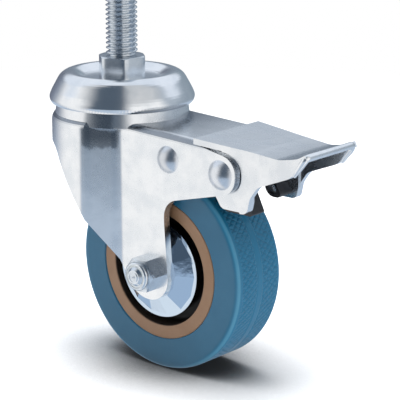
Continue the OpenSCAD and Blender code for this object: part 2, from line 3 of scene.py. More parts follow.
import bpy
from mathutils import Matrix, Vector


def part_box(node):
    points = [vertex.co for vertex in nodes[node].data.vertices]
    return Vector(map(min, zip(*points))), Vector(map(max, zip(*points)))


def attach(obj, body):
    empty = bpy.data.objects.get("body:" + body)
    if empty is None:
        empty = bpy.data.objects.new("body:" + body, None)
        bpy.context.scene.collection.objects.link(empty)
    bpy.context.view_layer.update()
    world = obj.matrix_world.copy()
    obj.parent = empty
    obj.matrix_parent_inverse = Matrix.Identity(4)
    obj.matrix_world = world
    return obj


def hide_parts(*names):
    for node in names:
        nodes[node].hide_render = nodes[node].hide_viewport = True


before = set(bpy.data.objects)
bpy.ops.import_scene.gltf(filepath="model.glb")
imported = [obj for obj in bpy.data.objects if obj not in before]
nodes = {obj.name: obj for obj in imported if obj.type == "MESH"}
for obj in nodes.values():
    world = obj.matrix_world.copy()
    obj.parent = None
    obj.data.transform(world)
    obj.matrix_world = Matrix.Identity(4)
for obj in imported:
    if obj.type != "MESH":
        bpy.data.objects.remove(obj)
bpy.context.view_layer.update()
mm = 0.001
fullTurn = 2 * math.pi

# The axle's centre, from the tyre that turns on it
tyreLow, tyreHigh = (Vector(corner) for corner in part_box("tyre"))
axle = (tyreLow + tyreHigh) / 2

# In the settings below, a pair is where a change starts and where it ends, and a noise is its scale, its
# detail and its roughness


# Shader maths: a wrapped socket that takes Python operators
class Val:
    def __init__(self, tree, socket):
        self.tree = tree
        self.socket = socket

    # Any node: its type, its settings, the output that is wanted, and the values or links of its sockets
    def node(self, kind, settings=None, output=0, **inputs):
        made = self.tree.nodes.new(kind)
        for key, value in (settings or {}).items():
            if key == "stops":
                fillRamp(made.color_ramp, value)
            else:
                setattr(made, key, value)
        for key, value in inputs.items():
            if value is None:
                continue
            number = key.removeprefix("in")
            target = made.inputs[int(number) if number.isdigit() else key.replace("_", " ")]
            if isinstance(value, Val):
                self.tree.links.new(value.socket, target)
            else:
                target.default_value = (*value, 1) if target.type == "RGBA" else value
        return Val(self.tree, made.outputs[output]) if made.outputs else None

    def math(self, operation, first, second=0.0):
        return self.node("ShaderNodeMath", {"operation": operation}, in0=first, in1=second)

    def __add__(self, other):
        return self.math("ADD", self, other)

    def __radd__(self, other):
        return self.math("ADD", other, self)

    def __sub__(self, other):
        return self.math("SUBTRACT", self, other)

    def __rsub__(self, other):
        return self.math("SUBTRACT", other, self)

    def __mul__(self, other):
        return self.math("MULTIPLY", self, other)

    def __rmul__(self, other):
        return self.math("MULTIPLY", other, self)

    # Runs gently from 0 at low to 1 at high
    def smooth(self, low, high):
        return self.node("ShaderNodeMapRange", {"interpolation_type": "SMOOTHSTEP"}, Value=self,
                         From_Min=low, From_Max=high)

    def clamped(self):
        return self.node("ShaderNodeClamp", Value=self)

    def vector(self, operation, other=None, scale=None, output=0):
        return self.node("ShaderNodeVectorMath", {"operation": operation}, output, in0=self, in1=other,
                         Scale=scale)

    def dot(self, other):
        return self.vector("DOT_PRODUCT", other, output=1)

    def length(self):
        return self.vector("LENGTH", output=1)

    def part(self, name):
        return self.node("ShaderNodeSeparateXYZ", None, name, Vector=self)

    def join(self, x=0.0, y=0.0, z=0.0):
        return self.node("ShaderNodeCombineXYZ", X=x, Y=y, Z=z)

    def mix(self, factor, first, second, how="MIX"):
        return self.node("ShaderNodeMix", {"data_type": "RGBA", "blend_type": how}, 2, in0=factor, in6=first,
                         in7=second)

    def mixShaders(self, factor, first, second):
        return self.node("ShaderNodeMixShader", in0=factor, in1=first, in2=second)


# A tree's first values, such as its coordinates
def begin(tree, kind, output):
    return Val(tree, None).node(kind, None, output)


def fillRamp(ramp, stops):
    while len(ramp.elements) < len(stops):
        ramp.elements.new(0.5)
    for element, (place, colour) in zip(ramp.elements, stops):
        element.position = place
        element.color = (*colour, 1)


# A new material whose Principled shader, object coordinates and object normal are ready to use
class Finish:
    def __init__(self, name, colour, metallic, roughness, **fixed):
        self.material = bpy.data.materials.new(name)
        self.material.use_nodes = True
        self.tree = self.material.node_tree
        self.shader = self.tree.nodes["Principled BSDF"]
        self.shader.inputs["Base Color"].default_value = (*colour, 1)
        self.shader.inputs["Metallic"].default_value = metallic
        self.shader.inputs["Roughness"].default_value = roughness
        for key, value in fixed.items():
            self.shader.inputs[key.replace("_", " ")].default_value = value
        self.place = begin(self.tree, "ShaderNodeTexCoord", "Object")
        self.facing = begin(self.tree, "ShaderNodeTexCoord", "Normal")

    # How far the surface faces along one way or its opposite, from 0 to 1
    def faces(self, way):
        return self.place.math("ABSOLUTE", self.facing.dot(way))

    def scaled(self, scale):
        return self.place.node("ShaderNodeMapping", Vector=self.place, Scale=scale)

    def noise(self, scale, detail, rough, place=None):
        return self.place.node("ShaderNodeTexNoise", Vector=place or self.place, Scale=scale, Detail=detail,
                               Roughness=rough)

    def mix(self, factor, first, second):
        return self.place.mix(factor, first, second)

    def feed(self, name, value):
        self.tree.links.new(value.socket, self.shader.inputs[name])

    # Fine relief, over a normal of the piece's own where one is given
    def bump(self, height, deep, strength, over=None):
        world = None
        if over:
            kinds = {"vector_type": "NORMAL", "convert_from": "OBJECT", "convert_to": "WORLD"}
            world = self.place.node("ShaderNodeVectorTransform", kinds, Vector=over)
        self.feed("Normal", self.place.node("ShaderNodeBump", Height=height, Strength=strength, Distance=deep,
                                            Normal=world))


# Camera, fitted to the photograph

camera = {
    "place": (0.3779, -0.4066, 0.1021),
    "facing": (-0.6251, 0.7367, -0.2577),
    "lens": 160.0,
    "sensor": 36.0,
    "shiftX": -0.003,
    "shiftY": -0.0135,
    "nearest": 0.01,
    "farthest": 20.0,
}


def makeCamera():
    data = bpy.data.cameras.new("camera")
    data.lens = camera["lens"]
    data.sensor_width = camera["sensor"]
    data.shift_x = camera["shiftX"]
    data.shift_y = camera["shiftY"]
    data.clip_start = camera["nearest"]
    data.clip_end = camera["farthest"]
    viewer = bpy.data.objects.new("camera", data)
    bpy.context.collection.objects.link(viewer)
    viewer.location = camera["place"]
    viewer.rotation_euler = Vector(camera["facing"]).to_track_quat("-Z", "Y").to_euler()
    bpy.context.scene.camera = viewer
    print("camera placed")


# Colours that lie around the castor near the horizon, by compass angle from -180 to 180 degrees
horizon = {
    "back corner turns": (-180, (0.34, 0.38, 0.45)),
    "left soft box": (-158, (1.0, 1.0, 1.0)),
    "left soft box ends": (-119, (1.0, 1.0, 1.0)),
    "dark room": (-94, (0.085, 0.115, 0.155)),
    "dark room ends": (-48, (0.085, 0.115, 0.155)),
    "right soft box": (-32, (1.0, 1.0, 1.0)),
    "right soft box ends": (14, (1.0, 1.0, 1.0)),
    "right wall": (32, (0.42, 0.48, 0.55)),
    "back wall": (118, (0.24, 0.30, 0.36)),
    "back corner": (150, (0.15, 0.17, 0.22)),
    "back corner ends": (168, (0.20, 0.23, 0.30)),
    "back corner meets itself": (180, (0.34, 0.38, 0.45)),
}
studio = {
    "backdrop": (1.0, 1.0, 1.0),
    "backFacing": (-0.647, 0.763, 0.0),   # the lit ceiling lies behind the castor, seen by the camera
    "litCeiling": (0.80, 0.86, 0.95),
    "darkCeiling": (0.075, 0.105, 0.145),
    "ceilingSides": 0.60,                 # share of the walls' colours in the dark ceiling
    "ceilingTurns": (-0.22, 0.04),        # where it goes from dark to lit, along backFacing
    "ceilingStarts": 0.46,                # sine of the height at which the ceiling begins over the camera
    "ceilingFull": 0.62,
    "backLift": -0.19,                    # how much higher it begins behind the castor
    "backStarts": (-0.1, 0.2),
    "below": (0.50, 0.60, 0.73),          # the least that shiny pieces see through the near floor
    "belowStarts": -0.05,                 # sine of the height under which they see it
}


# The colour that shiny surfaces see on one side of the castor, from a direction or a place in world space
def horizonColour(aim):
    share = aim.math("ARCTAN2", aim.part("Y"), aim.part("X")) * (1 / fullTurn) + 0.5
    stops = [((degrees + 180) / 360, colour) for degrees, colour in horizon.values()]
    return aim.node("ShaderNodeValToRGB", {"stops": stops}, Fac=share)


def makeWorld():
    world = bpy.data.worlds.new("studio")
    bpy.context.scene.world = world
    world.use_nodes = True
    tree = world.node_tree
    tree.nodes.clear()
    aim = begin(tree, "ShaderNodeTexCoord", "Generated")
    walls = horizonColour(aim)
    back = aim.dot(studio["backFacing"])
    front = aim.mix(studio["ceilingSides"], studio["darkCeiling"], walls)
    ceiling = aim.mix(back.smooth(*studio["ceilingTurns"]), front, studio["litCeiling"])
    lift = back.smooth(*studio["backStarts"]) * studio["backLift"]
    above = (aim.part("Z") - lift).smooth(studio["ceilingStarts"], studio["ceilingFull"])
    lifted = aim.mix(1.0, walls, studio["below"], "LIGHTEN")
    sides = aim.mix(aim.math("LESS_THAN", aim.part("Z"), studio["belowStarts"]), walls, lifted)
    around = aim.node("ShaderNodeBackground", Color=aim.mix(above, sides, ceiling))
    plain = aim.node("ShaderNodeBackground", Color=studio["backdrop"])
    seen = begin(tree, "ShaderNodeLightPath", "Is Camera Ray")
    aim.node("ShaderNodeOutputWorld", Surface=aim.mixShaders(seen, around, plain))
    print("studio walls set")


# The floor under the tyre is matt white and carries a painted shadow, darkened by ambient occlusion from the
# pieces above it. Shiny pieces see through it to the pale colour below the horizon, and further out the floor
# glows for them with the colour of the wall that stands on that side
ground = {
    "half": 3.0,
    "colour": (0.93, 0.93, 0.93),
    "white": (1.0, 1.0, 1.0),
    "glow": 0.10,                     # share of plain white that the camera sees near the castor
    "glowRises": (0.20, 0.55),        # and where it grows to all of it
    # the painted shadow's darkest colour, and how near and how far its occlusion reaches
    "paintedShadow": (0.07, 0.07, 0.07),
    "shadowReach": 0.085,             # how near a piece has to be to shade the floor
    "shadowSpan": (0.30, 0.98),
    "shadowSamples": 12,
    "wallEnds": (0.260, 0.330),       # distance from the stem over which the walls' colours come in
    "middle": (0.010, -0.010, 0),     # where their sides are taken from
}


def makeFloor():
    half = ground["half"]
    corners = [(-half, -half, 0), (half, -half, 0), (half, half, 0), (-half, half, 0)]
    mesh = bpy.data.meshes.new("floor")
    mesh.from_pydata(corners, [], [(0, 1, 2, 3)])
    floor = bpy.data.objects.new("floor", mesh)
    floor.location.z = tyreLow.z
    bpy.context.collection.objects.link(floor)
    material = bpy.data.materials.new("floorWhite")
    material.use_nodes = True
    tree = material.node_tree
    tree.nodes.clear()
    place = begin(tree, "ShaderNodeTexCoord", "Object")
    reach = place.length()
    # Painted shadow: the floor's colour and its white glow are darkened where nearby pieces occlude it
    gathered = place.node("ShaderNodeAmbientOcclusion", {"samples": ground["shadowSamples"]}, "AO",
                          Distance=ground["shadowReach"])
    clear = gathered.smooth(*ground["shadowSpan"])
    matt = place.node("ShaderNodeBsdfDiffuse", Color=place.mix(clear, ground["paintedShadow"], ground["colour"]))
    white = place.node("ShaderNodeEmission", Color=place.mix(clear, ground["paintedShadow"], ground["white"]))
    glow = (reach.smooth(*ground["glowRises"]) + ground["glow"]).clamped()
    seen = begin(tree, "ShaderNodeLightPath", "Is Camera Ray")
    mirroring = begin(tree, "ShaderNodeLightPath", "Is Glossy Ray")
    through = place.node("ShaderNodeBsdfTransparent")
    fromMiddle = place.vector("SUBTRACT", ground["middle"])
    walls = place.node("ShaderNodeEmission", Color=horizonColour(fromMiddle))
    polished = place.mixShaders(reach.smooth(*ground["wallEnds"]), through, walls)
    shown = place.mixShaders(mirroring, place.mixShaders(seen * glow, matt, white), polished)
    place.node("ShaderNodeOutputMaterial", Surface=shown)
    mesh.materials.append(material)
    print("floor laid")


# Lamps light the matt pieces and throw shadows, over which the floor's painted shadow lies; shiny pieces show
# the studio's walls instead
lamps = {
    "high": {"place": (0.02, 0.03, 0.60), "size": 0.50, "power": 8.0},
    "left": {"place": (-0.45, -0.55, 0.45), "size": 0.50, "power": 2.0},
}
lampsAim = (0.02, 0, -0.06)


def makeLamps():
    for name, say in lamps.items():
        data = bpy.data.lights.new(name, "AREA")
        data.size = say["size"]
        data.energy = say["power"]
        lamp = bpy.data.objects.new(name, data)
        lamp.location = say["place"]
        lamp.rotation_euler = (Vector(lampsAim) - lamp.location).to_track_quat("-Z", "Y").to_euler()
        lamp.visible_glossy = False
        bpy.context.collection.objects.link(lamp)
    print("studio lit")


# Making pieces

def newPiece(name, mesh, body, material, smoothAngle):
    piece = bpy.data.objects.new(name, mesh)
    bpy.context.collection.objects.link(piece)
    mesh.materials.clear()
    mesh.materials.append(material)
    shadeSmooth(piece, smoothAngle)
    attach(piece, body)
    return piece


def newMesh(name, verts, faces):
    mesh = bpy.data.meshes.new(name)
    mesh.from_pydata(verts, [], faces)
    mesh.validate()
    mesh.update()
    return mesh


def shadeSmooth(piece, angle):
    mesh = piece.data
    mesh.polygons.foreach_set("use_smooth", [True] * len(mesh.polygons))
    mesh.set_sharp_from_angle(angle=math.radians(angle))


# Faces of a tube of rings, each ring with the same number of points
def ringFaces(rings, around):
    faces = []
    for i in range(rings - 1):
        for j in range(around):
            k = (j + 1) % around
            faces.append((i * around + j, i * around + k, (i + 1) * around + k, (i + 1) * around + j))
    return faces


# Angles of a quarter turn in even steps, both ends included
def quarter(steps):
    return [math.radians(90 * i / steps) for i in range(steps + 1)]


def limited(value):
    return min(max(value, 0.0), 1.0)


# Pressed sheet and turned ends: how their bends, edges and faces turn or darken the light

along = (1, 0, 0)
sideways = (0, 1, 0)
upward = (0, 0, 1)

# The yoke's panels run into each other by wide bends, which turn the light gradually. Each bend has its
# place along X and the outward normals before and after it, across the yoke's near side
bends = {
    "first": {"x": 3.87 * mm, "before": (0.172, -0.985), "after": (0.629, -0.777)},
    "second": {"x": 12.4 * mm, "before": (0.629, -0.777), "after": (0.0, -1.0)},
    "wide": 2.2 * mm,
    "top": -19.0 * mm,
    "topSoft": (-0.5 * mm, 1.0 * mm),
    "level": (0.2, 0.7),
    "panelStarts": (2.6 * mm, 4.6 * mm),
    "panelEnds": (11.0 * mm, 12.8 * mm),
    "shoulder": (-26.5 * mm, -22.5 * mm),   # heights between which the panels start to lean back
    "shoulderTilt": 0.42,
    "mottle": (420.0, 3.0, 0.6),
    "mottleHigh": 5.0 * mm,
}
# Settings of the painted shade and painted reflection on the yoke's base colour
yokePaintedShade = {
    "deckTop": -17.2 * mm,
    "deckEnd": 42.3 * mm,
    "overDeck": (0.1 * mm, 0.3 * mm),
    "underDeck": (-0.1 * mm, 0.1 * mm),
    "stripEnds": (-4.0 * mm, -3.0 * mm),
    "bendStarts": (0.35, 0.60),
    "bendEnds": (0.86, 0.98),
    # the shares here and below are of the painted shade's dark colour
    "bend": 0.75,                           # shares of the dark colour, here and below
    "shearedFaces": (0.7, 0.9),
    "shearedWide": 1.0 * mm,
    "panelTop": (-26.5 * mm, -21.5 * mm),
    "panel": 0.60,
    "flat": (0.90, 0.98),
    "headStarts": (10.0 * mm, 12.0 * mm),
    "headEnds": (15.0 * mm, 46.0 * mm),
    "underHead": 0.90,
}
pedalLight = {
    "flangeFaces": (0.6, 0.9),
    "flangeFlattened": 0.8,
    "plateFaces": (0.55, 0.90),
    # where the plate's painted reflection darkens it, and how much
    "platePaintedShadeSpan": (62.0 * mm, 80.0 * mm),
    "platePaintedShade": 0.40,
}
turnedEnd = {
    "faces": (0.9, 0.99),
    "ringPitch": 1.3 * mm,
    "dome": 0.12,
    "ring": 0.30,
}
ticks = {
    "around": 150.0,
    "span": (-0.4, 0.9),
    "bandStarts": (0.1 * mm, 0.5 * mm),
    "bandEnds": (1.0 * mm, 1.5 * mm),
    "high": 0.25,
}


# Where the yoke's slanted panels are, and only on its upright faces
def onPanel(look):
    x = look.place.part("X")
    return x.smooth(*bends["panelStarts"]) * (1 - x.smooth(*bends["panelEnds"])) * upright(look)


def upright(look):
    return 1 - look.faces(upward).smooth(*bends["level"])


# The yoke's normal, bent softly at its two bends; the far side is read as the near one
def bentNormal(look):
    x = look.place.part("X")
    z = look.place.part("Z")
    near = look.place.math("SIGN", look.place.part("Y")) * -1
    panel = bends["first"]["after"]
    outer = look.place.math("SIGN", look.facing.dot(look.place.join(panel[0], near * panel[1])))
    share = (bends["top"] - z).smooth(*bends["topSoft"]) * outer
    normal = look.facing
    for bend in (bends["first"], bends["second"]):
        middle = bend["x"]
        start = middle - bends["wide"]
        end = middle + bends["wide"]
        soft = (x.smooth(start, middle) + x.smooth(middle, end)) * 0.5
        turn = (soft - look.place.math("GREATER_THAN", x, middle)) * share * upright(look)
        stepX, stepY = (after - before for before, after in zip(bend["before"], bend["after"]))
        normal = normal.vector("ADD", look.place.join(turn * stepX, turn * near * stepY))
    mottle = (look.noise(*bends["mottle"]) - 0.5) * bends["mottleHigh"]
    high = (z + mottle).smooth(*bends["shoulder"])
    tilt = high * onPanel(look) * share * bends["shoulderTilt"]
    return normal.vector("ADD", look.place.join(z=tilt)).vector("NORMALIZE")


# Painted shade and painted reflection: the base colour is darkened along the bend of the yoke's upper edges,
# at the sheared end of its deck, on the tops of its panels and on the deck under the head
def paintYokeShade(look):
    say = yokePaintedShade
    x = look.place.part("X")
    overDeck = look.place.part("Z") - say["deckTop"]
    level = look.faces(upward)
    strip = (1 - overDeck.smooth(*say["underDeck"])) * overDeck.smooth(*say["stripEnds"])
    bend = level.smooth(*say["bendStarts"]) * (1 - level.smooth(*say["bendEnds"])) * strip
    atEnd = x.smooth(say["deckEnd"] - say["shearedWide"], say["deckEnd"])
    sheared = look.facing.dot(along).smooth(*say["shearedFaces"]) * atEnd * strip
    panelTop = look.place.part("Z").smooth(*say["panelTop"]) * onPanel(look)
    flat = look.facing.dot(upward).smooth(*say["flat"]) * (1 - overDeck.smooth(*say["overDeck"]))
    underHead = flat * x.smooth(*say["headStarts"]) * (1 - x.smooth(*say["headEnds"]))
    return (bend * say["bend"] + sheared + panelTop * say["panel"] + underHead * say["underHead"]).clamped()


# The pedal's flanges step round the arms so gently that they look nearly flat
def flattenedNormal(look):
    kept = 1 - look.faces(sideways).smooth(*pedalLight["flangeFaces"]) * pedalLight["flangeFlattened"]
    return look.facing.vector("MULTIPLY", look.place.join(kept, 1.0, 1.0)).vector("NORMALIZE")


# Painted reflection: the pedal's plate is painted darker towards its lip, where it looks into the room's dark
# side
def paintPlateShade(look):
    flat = look.facing.dot(upward).smooth(*pedalLight["plateFaces"])
    return flat * look.place.part("X").smooth(*pedalLight["platePaintedShadeSpan"]) * pedalLight["platePaintedShade"]


# The bolt's end and the nut's face turn the light as turned, slightly domed metal does
def domedNormal(look):
    outward = look.place.vector("SUBTRACT", (axle.x, 0, axle.z)).vector("MULTIPLY", (1, 0, 1))
    rings = look.place.math("SINE", outward.length() * (fullTurn / turnedEnd["ringPitch"]))
    tilt = look.faces(sideways).smooth(*turnedEnd["faces"]) * (turnedEnd["dome"] + rings * turnedEnd["ring"])
    push = outward.vector("NORMALIZE").vector("SCALE", scale=tilt)
    return look.facing.vector("ADD", push).vector("NORMALIZE")


# Fine ticks round the bowl's rolled lip, left by the tool that closed it
def lipTicks(look, low):
    around = look.place.math("ARCTAN2", look.place.part("Y"), look.place.part("X"))
    waves = look.place.math("SINE", around * ticks["around"]).smooth(*ticks["span"])
    overLip = look.place.part("Z") - low
    band = overLip.smooth(*ticks["bandStarts"]) * (1 - overLip.smooth(*ticks["bandEnds"]))
    return waves * band * ticks["high"]


# Metals

sheet = {
    "colour": (0.90, 0.915, 0.93),
    "clouded": (0.80, 0.83, 0.86),
    # the dark colour of the painted shade and painted reflection that a shade function mixes in
    "dark": (0.17, 0.20, 0.24),
    "cloud": (140.0, 4.0, 0.6),
    "cloudSpan": (0.35, 0.7),
    "fine": (2600.0, 2.0, 0.7),
    "relief": (75.0, 3.0, 0.5),
    "roughness": 0.17,
    "cloudRough": 0.14,
    "fineRough": 0.05,
    "deep": 0.3 * mm,
    "strength": 0.3,
    "bowlSmoother": 0.08,
}


def zincSheet(name, normal=None, smoother=0.0, lip=None, shade=None):
    look = Finish(name, sheet["colour"], 1.0, sheet["roughness"])
    cloud = look.noise(*sheet["cloud"])
    fine = look.noise(*sheet["fine"])
    colour = look.mix(cloud.smooth(*sheet["cloudSpan"]), sheet["colour"], sheet["clouded"])
    # where a shade function is given, it paints shade into the base colour
    look.feed("Base Color", look.mix(shade(look), colour, sheet["dark"]) if shade else colour)
    rough = sheet["roughness"] - smoother + cloud * sheet["cloudRough"] + fine * sheet["fineRough"]
    look.feed("Roughness", rough)
    relief = look.noise(*sheet["relief"])
    if lip is not None:
        relief = relief + lipTicks(look, lip)
    look.bump(relief, sheet["deep"], sheet["strength"], normal(look) if normal else None)
    return look.material


turned = {
    "bolt": ((0.74, 0.79, 0.84), 0.16),   # colour and roughness of each metal that is turned or ground
    "stem": ((0.70, 0.74, 0.78), 0.20),
    "rivet": ((0.78, 0.81, 0.85), 0.26),
    "ball": ((0.78, 0.80, 0.83), 0.10),
    "clouded": 0.86,                      # share of the colour that is left in the clouds
    "cloud": (260.0, 3.0, 0.5),
    "cloudSpan": (0.4, 0.75),
    "cloudRough": 0.12,
    "rings": (1.0, 3.0, 0.6),
    "ringScale": (60.0, 60.0, 5200.0),
    "ringRough": 0.05,
    "smoother": 0.06,
    "deep": 0.08 * mm,
    "strength": 0.4,
}


def zincTurned(name, colour, roughness, normal=None):
    look = Finish(name, colour, 1.0, roughness)
    rings = look.noise(*turned["rings"], look.scaled(turned["ringScale"]))
    cloud = look.noise(*turned["cloud"])
    clouded = tuple(turned["clouded"] * part for part in colour)
    look.feed("Base Color", look.mix(cloud.smooth(*turned["cloudSpan"]), colour, clouded))
    rough = roughness - turned["smoother"] + cloud * turned["cloudRough"] + rings * turned["ringRough"]
    look.feed("Roughness", rough)
    look.bump((rings + cloud) * 0.5, turned["deep"], turned["strength"], normal(look) if normal else None)
    return look.material


capChrome = {
    "colour": (0.60, 0.71, 0.83),
    "cloud": (220.0, 3.0, 0.5),
    "roughness": 0.04,
    "cloudRough": 0.09,
    "deep": 0.2 * mm,
    "strength": 0.25,
}


def chromePressed():
    look = Finish("chromePressed", capChrome["colour"], 1.0, capChrome["roughness"])
    cloud = look.noise(*capChrome["cloud"])
    look.feed("Roughness", capChrome["roughness"] + cloud * capChrome["cloudRough"])
    look.bump(cloud, capChrome["deep"], capChrome["strength"])
    return look.material


leaf = {
    "colour": (0.30, 0.31, 0.33),
    "grain": (1.0, 2.0, 0.6),
    "grainScale": (400.0, 5000.0, 400.0),
    "roughness": 0.28,
    "grainRough": 0.2,
    "deep": 0.05 * mm,
    "strength": 0.4,
}


def springSteel():
    look = Finish("springSteel", leaf["colour"], 1.0, leaf["roughness"])
    grain = look.noise(*leaf["grain"], look.scaled(leaf["grainScale"]))
    look.feed("Roughness", leaf["roughness"] + grain * leaf["grainRough"])
    look.bump(grain, leaf["deep"], leaf["strength"])
    return look.material


# Plastics and rubber

rubberLook = {
    "side": (0.008, 0.090, 0.167),
    "worn": (0.022, 0.120, 0.205),
    "tread": (0.007, 0.138, 0.255),
    # a pale colour painted round the shoulders as a painted highlight, with where and how strongly it lies
    "edge": (0.10, 0.33, 0.47),
    "coat": 0.30,
    "coatRough": 0.16,
    "shine": 0.35,
    "treadStarts": (30.6 * mm, 32.2 * mm),
    "edgeRadius": (30.8 * mm, 31.4 * mm),
    "edgeStarts": (0.35, 0.55),
    "edgeEnds": (0.72, 0.95),
    "edgeShare": 0.42,
    "cloud": (160.0, 4.0, 0.6),
    "cloudSpan": (0.3, 0.75),
    "wornShare": 0.35,
    "speck": (3800.0, 2.0, 0.6),
    "roughness": 0.36,
    "cloudRough": 0.10,
    "speckRough": 0.08,
    "speckHigh": 0.6,
    "cloudHigh": 0.4,
    "deep": 0.06 * mm,
    "strength": 0.5,
}


def axleDistance(look):
    x = look.place.part("X") - axle.x
    z = look.place.part("Z") - axle.z
    return look.place.math("SQRT", x * x + z * z)


def tyreRubber():
    say = rubberLook
    look = Finish("tyreRubber", say["side"], 0.0, say["roughness"], Coat_Weight=say["coat"],
                  Coat_Roughness=say["coatRough"], Specular_IOR_Level=say["shine"])
    radius = axleDistance(look)
    cloud = look.noise(*say["cloud"])
    speck = look.noise(*say["speck"])
    side = look.mix(cloud.smooth(*say["cloudSpan"]) * say["wornShare"], say["side"], say["worn"])
    body = look.mix(radius.smooth(*say["treadStarts"]), side, say["tread"])
    # Painted highlight: a pale line painted round each shoulder, on faces that slant between side and tread
    aside = look.faces(sideways)
    slanted = aside.smooth(*say["edgeStarts"]) * (1 - aside.smooth(*say["edgeEnds"]))
    edge = slanted * radius.smooth(*say["edgeRadius"]) * say["edgeShare"]
    look.feed("Base Color", look.mix(edge, body, say["edge"]))
    look.feed("Roughness", say["roughness"] + cloud * say["cloudRough"] + speck * say["speckRough"])
    look.bump(speck * say["speckHigh"] + cloud * say["cloudHigh"], say["deep"], say["strength"])
    return look.material


coreLook = {
    "face": (0.220, 0.122, 0.064),
    "clouded": (0.243, 0.140, 0.079),
    # near-black painted shade inside the core's recess, and the radii where it ends
    "paintedRecessShade": (0.012, 0.010, 0.009),
    "recessShadeEnds": (18.25 * mm, 18.6 * mm),
    "cloud": (120.0, 3.0, 0.5),
    "cloudSpan": (0.3, 0.7),
    "grain": (1500.0, 3.0, 0.6),
    "roughness": 0.42,
    "grainRough": 0.16,
    "deep": 0.06 * mm,
    "strength": 0.5,
}


def corePlastic():
    say = coreLook
    look = Finish("corePlastic", say["face"], 0.0, say["roughness"])
    grain = look.noise(*say["grain"])
    face = look.mix(look.noise(*say["cloud"]).smooth(*say["cloudSpan"]), say["face"], say["clouded"])
    # Painted shade: inside its recess the core is painted near black
    look.feed("Base Color", look.mix(axleDistance(look).smooth(*say["recessShadeEnds"]), say["paintedRecessShade"], face))
    look.feed("Roughness", say["roughness"] + grain * say["grainRough"])
    look.bump(grain, say["deep"], say["strength"])
    return look.material


shoeLook = {
    "colour": (0.010, 0.010, 0.012),
    "worn": (0.022, 0.021, 0.024),
    "wornSpan": (0.3, 0.8),
    "grain": (900.0, 3.0, 0.6),
    "roughness": 0.22,
    "grainRough": 0.25,
    "deep": 0.12 * mm,
    "strength": 0.4,
}


def shoePlastic():
    say = shoeLook
    look = Finish("shoePlastic", say["colour"], 0.0, say["roughness"])
    grain = look.noise(*say["grain"])
    look.feed("Base Color", look.mix(grain.smooth(*say["wornSpan"]), say["colour"], say["worn"]))
    look.feed("Roughness", say["roughness"] + grain * say["grainRough"])
    look.bump(grain, say["deep"], say["strength"])
    return look.material


nylonLook = {
    "colour": (0.70, 0.72, 0.72),
    "softness": 0.1,
    "grain": (1200.0, 2.0, 0.5),
    "roughness": 0.35,
    "grainRough": 0.15,
    "deep": 0.04 * mm,
    "strength": 0.4,
}


def nylonRing():
    say = nylonLook
    look = Finish("nylonRing", say["colour"], 0.0, say["roughness"], Subsurface_Weight=say["softness"])
    grain = look.noise(*say["grain"])
    look.feed("Roughness", say["roughness"] + grain * say["grainRough"])
    look.bump(grain, say["deep"], say["strength"])
    return look.material


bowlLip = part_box("swivel_bowl")[0][2]
zinc = zincSheet("zincSheet")
yokeZinc = zincSheet("yokeZinc", normal=bentNormal, shade=paintYokeShade)
pedalZinc = zincSheet("pedalZinc", normal=flattenedNormal, shade=paintPlateShade)
bowlZinc = zincSheet("bowlZinc", smoother=sheet["bowlSmoother"], lip=bowlLip)
boltZinc = zincTurned("boltZinc", *turned["bolt"], normal=domedNormal)
stemZinc = zincTurned("stemZinc", *turned["stem"])
rivetZinc = zincTurned("rivetZinc", *turned["rivet"])
ballSteel = zincTurned("ballSteel", *turned["ball"])
chrome = chromePressed()
spring = springSteel()
rubber = tyreRubber()
core = corePlastic()
shoe = shoePlastic()
nylon = nylonRing()
print("materials made")


# Stem: real thread, hexagon collar with a turned dome, shank and peened head in one piece

stem = {
    "pitch": 1.5 * mm,
    "crest": 5.0 * mm,
    "root": 4.08 * mm,
    "length": 25.0 * mm,
    "chamfer": 1.0 * mm,
    "runOut": 0.9 * mm,
    "crestFlat": 0.18,               # shares of half the pitch
    "rootFlat": 0.12,
    "collarHeight": 6.5 * mm,
    "collarFlats": 14.0 * mm,
    "collarDome": 1.3 * mm,
    "collarRows": (1.0, 0.8, 0.5),   # rings of the collar, as shares of its height
    "collarTurn": 20.0,
    "cornerTurned": 0.96,
    "cornerSoft": 0.13 * mm,
    "neckIn": 0.1 * mm,
    "shank": 5.0 * mm,
    "peenRadius": 7.0 * mm,
    "peenHeight": 2.2 * mm,
    "tipRadius": 0.1 * mm,
    "around": 144,
    "stepsPerTurn": 14,
    "peenSteps": 8,
    "domeSteps": 12,
    "sharpAngle": 38,
}


def threadRadius(z, angle):
    phase = (z / stem["pitch"] - angle / fullTurn) % 1.0
    ridge = abs(2 * phase - 1)
    flank = limited((ridge - stem["rootFlat"]) / (1 - stem["rootFlat"] - stem["crestFlat"]))
    return stem["root"] + (stem["crest"] - stem["root"]) * flank


# The collar's flats, with corners that run softly into a turned round
def hexagonRadius(angle):
    sector = math.radians(60)
    fromFlat = (angle - math.radians(stem["collarTurn"])) % sector - sector / 2
    flat = stem["collarFlats"] / 2 / math.cos(fromFlat)
    corner = stem["collarFlats"] / math.sqrt(3) * stem["cornerTurned"]
    soft = stem["cornerSoft"]
    return -soft * math.log(math.exp(-flat / soft) + math.exp(-corner / soft))


# Radius of one ring of the stem at an angle; its kind says what is cut there
def stemRadius(kind, r, z, angle):
    if kind == "hex":
        return min(r, hexagonRadius(angle))
    if kind == "thread":
        start = limited(z / stem["runOut"])
        tip = stem["crest"] - max(0.0, z - (stem["length"] - stem["chamfer"]))
        return min(stem["root"] + (threadRadius(z, angle) - stem["root"]) * start, tip)
    return r


